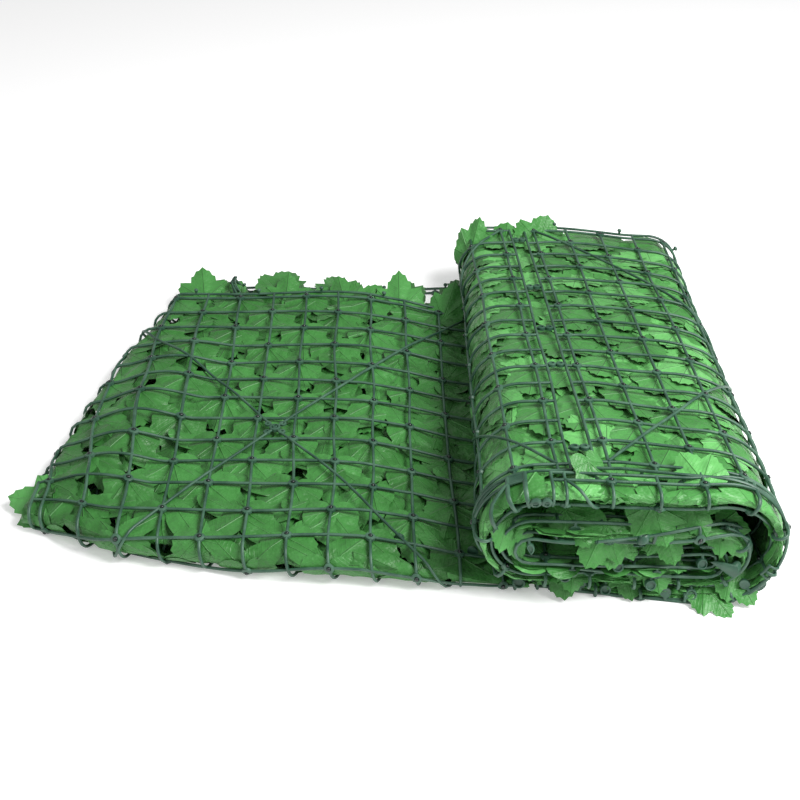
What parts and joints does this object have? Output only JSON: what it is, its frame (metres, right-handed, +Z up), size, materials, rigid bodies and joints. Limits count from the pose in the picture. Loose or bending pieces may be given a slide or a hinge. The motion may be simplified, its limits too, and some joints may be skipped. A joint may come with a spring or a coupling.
{
  "type": "artificial ivy privacy screen",
  "caption": "Artificial ivy privacy screen: moulded net panels with fabric leaves on one side, folded double, flat at its loose end and wound into a flattened roll at the other.",
  "frame": {"origin": "middle of the bounding box's base, on the surface that the screen rests on", "axes": "+X runs from the loose end to the roll, +Y across the screen away from its near edge, +Z up"},
  "size_m": [0.5592, 0.5204, 0.1044],
  "materials": {
    "net": "semi-matt dark green moulded plastic",
    "leaves": "matt green woven fabric with pressed veins"
  },
  "bodies": {
    "root": {"net_floor": "net", "net_top": "net", "net_roll_1": "net", "net_roll_2": "net", "leaves_loose_end": "leaves", "leaves_roll": "leaves"}
  },
  "joints": []
}
